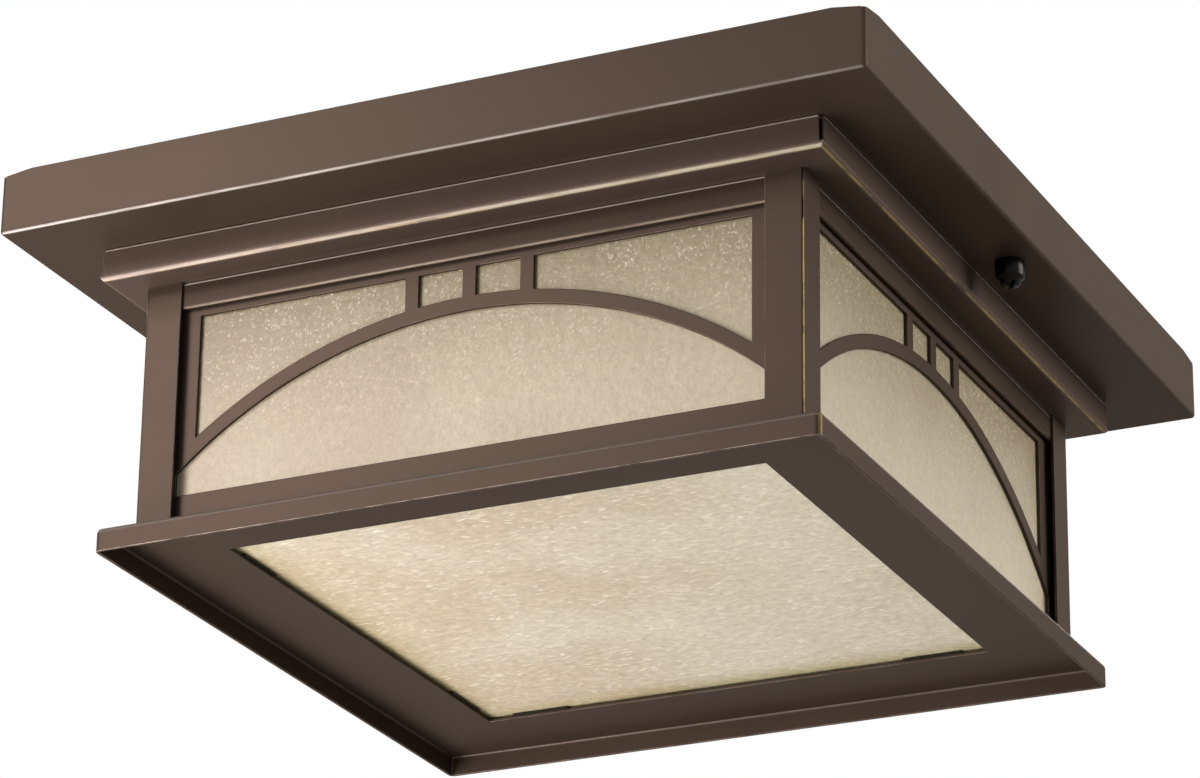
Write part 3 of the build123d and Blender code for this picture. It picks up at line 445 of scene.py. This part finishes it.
def rolledGlass(name, look):
    material, tree, shader, place = newMaterial(name, {
        "IOR": glass["ior"], "Roughness": glass["roughness"], "Specular IOR Level": glass["specular"],
        "Transmission Weight": glass["transmission"], "Subsurface Weight": glass["scatter"],
        "Subsurface Radius": (1.0, 1.0, 1.0), "Subsurface Scale": glass["scatterDepth"] * millimetre})
    # Painted shade: a side pane darkens towards its top, under the overhang, and its milk drifts from pink
    # at the left to grey green
    spot = addNode(tree, "SeparateXYZ", {0: place.outputs["Object"]})
    upper = addNode(tree, "MapRange", {
        "Value": spot.outputs["Z"], "From Min": look["shadeAndSeedStart"] * millimetre,
        "From Max": look["shadeAndSeedFull"] * millimetre})
    milkAndTopShade = addNode(tree, "Mix", {
        "data_type": "RGBA", 0: upper.outputs[0], 6: linear(look["low"]), 7: linear(look["high"])})
    cloud = addNode(tree, "TexNoise", {
        "Vector": place.outputs["Object"], "Scale": perMetre(glass["cloud"]), "Detail": 3.0})
    sideways = addNode(tree, "MapRange", {
        "Value": spot.outputs["X"], "From Min": -glass["driftReach"] * millimetre,
        "From Max": glass["driftReach"] * millimetre,
        "To Min": -glass["driftSlope"], "To Max": glass["driftSlope"]})
    drifted = addNode(tree, "Math", {"operation": "ADD", 0: cloud.outputs["Fac"], 1: sideways.outputs[0]})
    drift = addNode(tree, "MapRange", {
        "interpolation_type": "SMOOTHSTEP", "Value": drifted.outputs[0],
        "From Min": glass["driftStart"], "From Max": glass["driftFull"]})
    tint = addNode(tree, "Mix", {
        "data_type": "RGBA", 0: drift.outputs[0], 6: linear(look["pink"]), 7: linear(look["green"])})
    tinted = addNode(tree, "Mix", {
        "data_type": "RGBA", "blend_type": "MULTIPLY", 0: 1.0, 6: milkAndTopShade.outputs[2], 7: tint.outputs[2]})
    # Mottle: a fine grain, drawn out as the sheet was rolled, over larger blotches
    rolled = addNode(tree, "VectorMath", {
        "operation": "MULTIPLY", 0: place.outputs["Object"], 1: (1 / look["draw"], 1.0, 1.0)})
    grain = addNode(tree, "TexNoise", {
        "Vector": rolled.outputs[0], "Scale": perMetre(glass["grain"]), "Detail": 2.0})
    blotch = addNode(tree, "TexNoise", {
        "Vector": place.outputs["Object"], "Scale": perMetre(glass["blotch"]), "Detail": 2.0})
    mixed = addNode(tree, "Math", {"operation": "ADD", 0: grain.outputs["Fac"], 1: blotch.outputs["Fac"]})
    mottle = addNode(tree, "MapRange", {
        "Value": mixed.outputs[0], "From Min": glass["mottleStart"], "From Max": glass["mottleFull"],
        "To Min": 1 - look["mottle"], "To Max": 1 + look["mottle"]})
    mottled = addNode(tree, "Mix", {
        "data_type": "RGBA", "blend_type": "MULTIPLY", 0: 1.0, 6: tinted.outputs[2], 7: mottle.outputs[0]})
    # Pale flecks of uneven shape and strength, partly seeds and partly painted glints, thicker in patches
    # and towards the top of a pane
    patch = addNode(tree, "TexNoise", {
        "Vector": place.outputs["Object"], "Scale": perMetre(glass["seedPatch"]), "Detail": 2.0})
    thick = addNode(tree, "MapRange", {
        "interpolation_type": "SMOOTHSTEP", "Value": patch.outputs["Fac"],
        "From Min": look["seedBare"], "From Max": look["seedFull"]})
    share = addNode(tree, "Math", {"operation": "MULTIPLY", 0: upper.outputs[0], 1: thick.outputs[0]})
    swirl = addNode(tree, "TexNoise", {
        "Vector": rolled.outputs[0], "Scale": perMetre(glass["swirl"]), "Detail": 1.0})
    bent = addNode(tree, "VectorMath", {
        "operation": "MULTIPLY_ADD", 0: swirl.outputs["Color"], 1: [glass["swirlReach"] * millimetre] * 3,
        2: rolled.outputs[0]})
    seedGlint = addNode(tree, "TexVoronoi", {"Vector": bent.outputs[0], "Scale": perMetre(look["seedGap"])})
    chance = addNode(tree, "SeparateXYZ", {0: seedGlint.outputs["Color"]})
    strength = addNode(tree, "Math", {"operation": "MULTIPLY", 0: chance.outputs["X"], 1: look["seedGlints"]})
    seedGlintMask = addNode(tree, "MapRange", {
        "interpolation_type": "SMOOTHSTEP", "Value": seedGlint.outputs["Distance"],
        "From Min": glass["seedRim"], "From Max": glass["seedCore"], "To Max": strength.outputs[0]})
    seedGlintShare = addNode(tree, "Math", {
        "operation": "MULTIPLY", 0: seedGlintMask.outputs[0], 1: share.outputs[0]})
    seedGlintMixed = addNode(tree, "Mix", {
        "data_type": "RGBA", 0: seedGlintShare.outputs[0], 6: mottled.outputs[2], 7: linear(glass["seedGlint"])})
    colour = seedGlintMixed.outputs[2]
    # Painted shade: the bottom pane darkens to olive towards its left and rear edges, where the tray's edge
    # shades it
    if "rimShade" in look:
        leftward = addNode(tree, "Math", {"operation": "MULTIPLY", 0: spot.outputs["X"], 1: -1.0})
        outward = addNode(tree, "Math", {
            "operation": "MAXIMUM", 0: leftward.outputs[0], 1: spot.outputs["Y"]})
        rimShadeMask = addNode(tree, "MapRange", {
            "interpolation_type": "SMOOTHSTEP", "Value": outward.outputs[0],
            "From Min": look["rimShadeStart"] * millimetre, "From Max": look["rimShadeFull"] * millimetre})
        rimShaded = addNode(tree, "Mix", {
            "data_type": "RGBA", "blend_type": "MULTIPLY", 0: rimShadeMask.outputs[0],
            6: colour, 7: linear(look["rimShade"])})
        colour = rimShaded.outputs[2]
    tree.links.new(colour, shader.inputs["Base Color"])
    # The rolled face: ripples with the lumps of the mottle and the seeds on them
    ripple = addNode(tree, "TexNoise", {
        "Vector": place.outputs["Object"], "Scale": perMetre(glass["ripple"]), "Detail": 2.0})
    lumps = addNode(tree, "Math", {
        "operation": "MULTIPLY_ADD", 0: mixed.outputs[0], 1: glass["lumpHeight"], 2: ripple.outputs["Fac"]})
    face = addNode(tree, "Math", {
        "operation": "MULTIPLY_ADD", 0: seedGlintShare.outputs[0], 1: glass["seedHeight"], 2: lumps.outputs[0]})
    relief = addNode(tree, "Bump", {
        "Strength": glass["reliefStrength"], "Distance": glass["relief"] * millimetre,
        "Height": face.outputs[0]})
    tree.links.new(relief.outputs[0], shader.inputs["Normal"])
    return material


# Upright panes: the low colour is the milk at the foot, the darker high colour is the painted shade at the
# top
sideGlass = rolledGlass("rolledCreamGlassUpright", {
    "low": "#DED5C6", "high": "#9D927C", "shadeAndSeedStart": -118, "shadeAndSeedFull": -45,
    "pink": "#EEE8E1", "green": "#FAF9F1", "mottle": 0.1, "draw": 1.0,
    "seedGlints": 0.58, "seedGap": 1.4, "seedBare": 0.2, "seedFull": 0.55})
bottomGlass = rolledGlass("rolledCreamGlassBelow", {
    "low": "#DEDAC8", "high": "#DAD3C1", "shadeAndSeedStart": -130, "shadeAndSeedFull": -118,
    "pink": "#EFE7DD", "green": "#FDFEFB", "mottle": 0.14, "draw": 2.4,
    "seedGlints": 0.9, "seedGap": 1.8, "seedBare": 0.2, "seedFull": 0.55,
    # the rim colour is the painted shade at the pane's left and rear edges
    "rimShade": "#E7E4CD", "rimShadeStart": 79, "rimShadeFull": 96})

# Hard finishes of the small parts, each with a fine grain in its tone, its gloss and its face.
# Grain sizes and depths are in millimetres, and a grain that is too fine to show is drawn coarser
fineGrain = {"smoothest": 0.8, "roughest": 1.25, "strength": 0.4}
smallFinishes = {
    # Heat-blackened spring steel: nearly black, with a dull grey glint
    "black_spring_steel": {
        "name": "blackenedSpringSteel", "tone": "#241F1B", "darkTone": "#14110F",
        "metallic": 0.6, "roughness": 0.42, "grain": 1.6, "depth": 0.01},
    # Black lacquer over turned brass: dark and smooth, with small highlights
    "black_nut": {
        "name": "blackLacqueredBrass", "tone": "#0F0C0A", "darkTone": "#080605",
        "metallic": 0.0, "roughness": 0.26, "grain": 3.0, "depth": 0.004,
        "more": {"Specular IOR Level": 0.15}},
    # Zinc plate on steel: cool grey, with a soft mirror that clouds slightly
    "zinc_steel": {
        "name": "zincPlatedSteel", "tone": "#C9CBCC", "darkTone": "#A9ABAA",
        "metallic": 1.0, "roughness": 0.34, "grain": 5.0, "depth": 0.01},
    # Drawn aluminium of the rivets: pale, satin and fine grained
    "rivet_aluminium": {
        "name": "drawnAluminium", "tone": "#CFCFD0", "darkTone": "#B4B4B6",
        "metallic": 1.0, "roughness": 0.38, "grain": 1.2, "depth": 0.01},
    # Stove enamel of the reflector: warm white, glossy, with a slight orange peel
    "white_enamel": {
        "name": "whiteStoveEnamel", "tone": "#F0EFEA", "darkTone": "#E6E4DC",
        "metallic": 0.0, "roughness": 0.24, "grain": 2.2, "depth": 0.012},
    # Moulded nylon of the bushing: off-white and matt
    "white_nylon": {
        "name": "mouldedNylon", "tone": "#EFECE2", "darkTone": "#E2DECF",
        "metallic": 0.0, "roughness": 0.45, "grain": 1.0, "depth": 0.01},
    # Green dyed zinc of the grounding screw: a clear green over metal
    "green_screw": {
        "name": "greenDyedZinc", "tone": "#2F8A4C", "darkTone": "#1F6F3B",
        "metallic": 0.7, "roughness": 0.32, "grain": 1.4, "depth": 0.01},
    # Glazed porcelain of the lampholders: creamy white under a wet gloss
    "porcelain": {
        "name": "glazedPorcelain", "tone": "#F1EEE6", "darkTone": "#E7E2D6",
        "metallic": 0.0, "roughness": 0.12, "grain": 9.0, "depth": 0.02,
        "more": {"Coat Weight": 0.5}},
    # Pressed brass of shells and contacts: yellow, bright, slightly uneven
    "contact_brass": {
        "name": "pressedBrass", "tone": "#D9B768", "darkTone": "#B8944C",
        "metallic": 1.0, "roughness": 0.28, "grain": 2.0, "depth": 0.01},
    # Pressed aluminium of the lamp caps: silver and bright
    "cap_aluminium": {
        "name": "pressedAluminium", "tone": "#D8D8D9", "darkTone": "#BDBDBF",
        "metallic": 1.0, "roughness": 0.26, "grain": 1.5, "depth": 0.008},
    # Black vitrite of the lamp feet: a glassy black
    "black_insulator": {
        "name": "blackVitrite", "tone": "#17171B", "darkTone": "#0D0D10",
        "metallic": 0.0, "roughness": 0.18, "grain": 1.5, "depth": 0.01},
    # Frosted lamp glass: white, matt, and lit through a little
    "frosted_bulb": {
        "name": "frostedLampGlass", "tone": "#F6F5F0", "darkTone": "#EFEDE6",
        "metallic": 0.0, "roughness": 0.5, "grain": 0.8, "depth": 0.004,
        "more": {"Transmission Weight": 0.35, "IOR": 1.5}},
}


def fineFinish(look):
    material, tree, shader, place = newMaterial(look["name"], {
        "Metallic": look["metallic"], **look.get("more", {})})
    grain = addNode(tree, "TexNoise", {
        "Vector": place.outputs["Object"], "Scale": perMetre(look["grain"]), "Detail": 4.0})
    tone = addNode(tree, "Mix", {
        "data_type": "RGBA", 0: grain.outputs["Fac"],
        6: linear(look["darkTone"]), 7: linear(look["tone"])})
    tree.links.new(tone.outputs[2], shader.inputs["Base Color"])
    gloss = addNode(tree, "MapRange", {
        "Value": grain.outputs["Fac"], "To Min": look["roughness"] * fineGrain["smoothest"],
        "To Max": look["roughness"] * fineGrain["roughest"]})
    tree.links.new(gloss.outputs[0], shader.inputs["Roughness"])
    face = addNode(tree, "Bump", {
        "Strength": fineGrain["strength"], "Distance": look["depth"] * millimetre,
        "Height": grain.outputs["Fac"]})
    tree.links.new(face.outputs[0], shader.inputs["Normal"])
    return material


finishes = {slotName: fineFinish(look) for slotName, look in smallFinishes.items()}
for part in frame["record"]["subparts"]:
    node = part["node"]
    slotName = part["material_slot"]
    if slotName == "bronze_paint":
        finish = next(made for piece, made in bronzePieces.items() if node.endswith(piece))
    elif slotName == "seeded_glass":
        finish = bottomGlass if node == "bottom_glass" else sideGlass
    else:
        finish = finishes[slotName]
    for nodeSlot in frame["nodes"][node].material_slots:
        nodeSlot.material = finish
print("finishes are on the CAD pieces")

# New meshes: points closer than weld, in millimetres, are merged, and edges that turn more than
# sharpAngle, in degrees, stay sharp
meshing = {"weld": 0.002, "sharpAngle": 38}


# Makes a piece from a bmesh: closed, facing outwards, smooth but for its edges, and riding on its body
def addPiece(name, shape, finish, body, replaced):
    bmesh.ops.remove_doubles(shape, verts=shape.verts, dist=meshing["weld"] * millimetre)
    bmesh.ops.recalc_face_normals(shape, faces=shape.faces)
    data = bpy.data.meshes.new(name)
    shape.to_mesh(data)
    shape.free()
    data.polygons.foreach_set("use_smooth", [True] * len(data.polygons))
    data.set_sharp_from_angle(angle=math.radians(meshing["sharpAngle"]))
    data.materials.append(finish)
    piece = bpy.data.objects.new(name, data)
    scene.collection.objects.link(piece)
    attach(piece, body)
    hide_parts(replaced)
    return piece


# Rolled panes: slab with eased edges and a gently uneven face, pressed inwards from the CAD pane.
# Sizes are in millimetres, and flatFace tells the broad faces from the eased edges
pane = {"ease": 0.4, "easeSegments": 2, "cell": 2.4, "wave": 11.0, "depth": 0.16, "flatFace": 0.95}


def rolledPane(node, finish):
    low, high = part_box(node)
    size = high - low
    shape = bmesh.new()
    bmesh.ops.create_cube(shape, size=1)
    bmesh.ops.scale(shape, vec=size, verts=shape.verts)
    bmesh.ops.translate(shape, vec=(low + high) / 2, verts=shape.verts)
    bmesh.ops.bevel(
        shape, geom=shape.edges[:], offset=pane["ease"] * millimetre, affect="EDGES",
        segments=pane["easeSegments"], profile=0.5, material=-1)
    thinAxis = min(range(3), key=lambda axis: size[axis])
    for axis in range(3):
        if axis != thinAxis:
            longEdges = []
            for edge in shape.edges:
                if abs(edge.verts[0].co[axis] - edge.verts[1].co[axis]) > size[axis] / 2:
                    longEdges.append(edge)
            cuts = int(size[axis] / (pane["cell"] * millimetre))
            bmesh.ops.subdivide_edges(shape, edges=longEdges, cuts=cuts, use_grid_fill=True)
    shape.normal_update()
    middle = (low[thinAxis] + high[thinAxis]) / 2
    for vert in shape.verts:
        if abs(vert.normal[thinAxis]) > pane["flatFace"]:
            wave = noise.noise(vert.co / (pane["wave"] * millimetre))
            press = (0.5 + 0.5 * wave) * pane["depth"] * millimetre
            vert.co[thinAxis] += press if vert.co[thinAxis] < middle else -press
    addPiece(node + "_rolled", shape, finish, "cover", node)


for side in ("front", "right", "rear", "left"):
    rolledPane(side + "_glass", sideGlass)
rolledPane("bottom_glass", bottomGlass)
print("glass panes are rolled")

# Cap nuts: turned in a lathe, with a domed end narrower than the body and a screwdriver slot.
# Sizes are in millimetres. The shoulder gives radius and depth, the dome gives shares of its radius and
# of the nut's length
capNut = {
    "body": 5.0,
    "bore": 2.18,
    "boreDepth": 6.1,
    "shoulder": ((5.0, 5.4), (4.65, 6.0), (4.05, 6.35), (3.7, 6.7)),
    "domeRadius": 3.7,
    "dome": ((0.93, 0.88), (0.74, 0.95), (0.4, 0.99), (0, 1)),
    "steps": 64,
    "slotLength": 20,
    "slotWidth": 1.3,
    "slotDepth": 1.6,
    "slotTurn": -51,
}


def turnedNut(side):
    node = side + "_cap_nut"
    low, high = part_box(node)
    centre = (low + high) / 2
    length = (high.z - low.z) / millimetre
    outline = [
        (0, capNut["boreDepth"]), (capNut["bore"], capNut["boreDepth"]), (capNut["bore"], 0),
        (capNut["body"], 0), *capNut["shoulder"]]
    for radiusShare, lengthShare in capNut["dome"]:
        outline.append((radiusShare * capNut["domeRadius"], lengthShare * length))
    shape = bmesh.new()
    points = []
    for radius, depth in outline:
        points.append(shape.verts.new(
            (centre.x + radius * millimetre, centre.y, high.z - depth * millimetre)))
    for first, second in zip(points, points[1:]):
        shape.edges.new((first, second))
    bmesh.ops.spin(
        shape, geom=shape.verts[:] + shape.edges[:], axis=(0, 0, 1), cent=centre,
        steps=capNut["steps"], angle=math.tau, use_merge=True)
    nut = addPiece(node + "_turned", shape, finishes["black_nut"], side + "_nut", node)
    cutSlot(nut, Vector((centre.x, centre.y, low.z)))


# Cuts the screwdriver slot into the end of a nut. Half of the cutter's height stands out of the end
def cutSlot(nut, end):
    cutterSize = Vector((capNut["slotLength"], capNut["slotWidth"], 2 * capNut["slotDepth"])) * millimetre
    slotShape = bmesh.new()
    bmesh.ops.create_cube(slotShape, size=1)
    bmesh.ops.scale(slotShape, vec=cutterSize, verts=slotShape.verts)
    bmesh.ops.rotate(
        slotShape, cent=(0, 0, 0), verts=slotShape.verts,
        matrix=Matrix.Rotation(math.radians(capNut["slotTurn"]), 3, "Z"))
    bmesh.ops.translate(slotShape, vec=end, verts=slotShape.verts)
    slotData = bpy.data.meshes.new("slotCutter")
    slotShape.to_mesh(slotData)
    slotShape.free()
    cutter = bpy.data.objects.new("slotCutter", slotData)
    scene.collection.objects.link(cutter)
    cut = nut.modifiers.new("slot", "BOOLEAN")
    cut.operation = "DIFFERENCE"
    cut.solver = "EXACT"
    cut.object = cutter
    evaluated = nut.evaluated_get(bpy.context.evaluated_depsgraph_get())
    slotted = bpy.data.meshes.new_from_object(evaluated)
    nut.modifiers.clear()
    nut.data = slotted
    slotted.set_sharp_from_angle(angle=math.radians(meshing["sharpAngle"]))
    bpy.data.objects.remove(cutter)


for side in ("left", "right"):
    turnedNut(side)
print("cap nuts are turned")
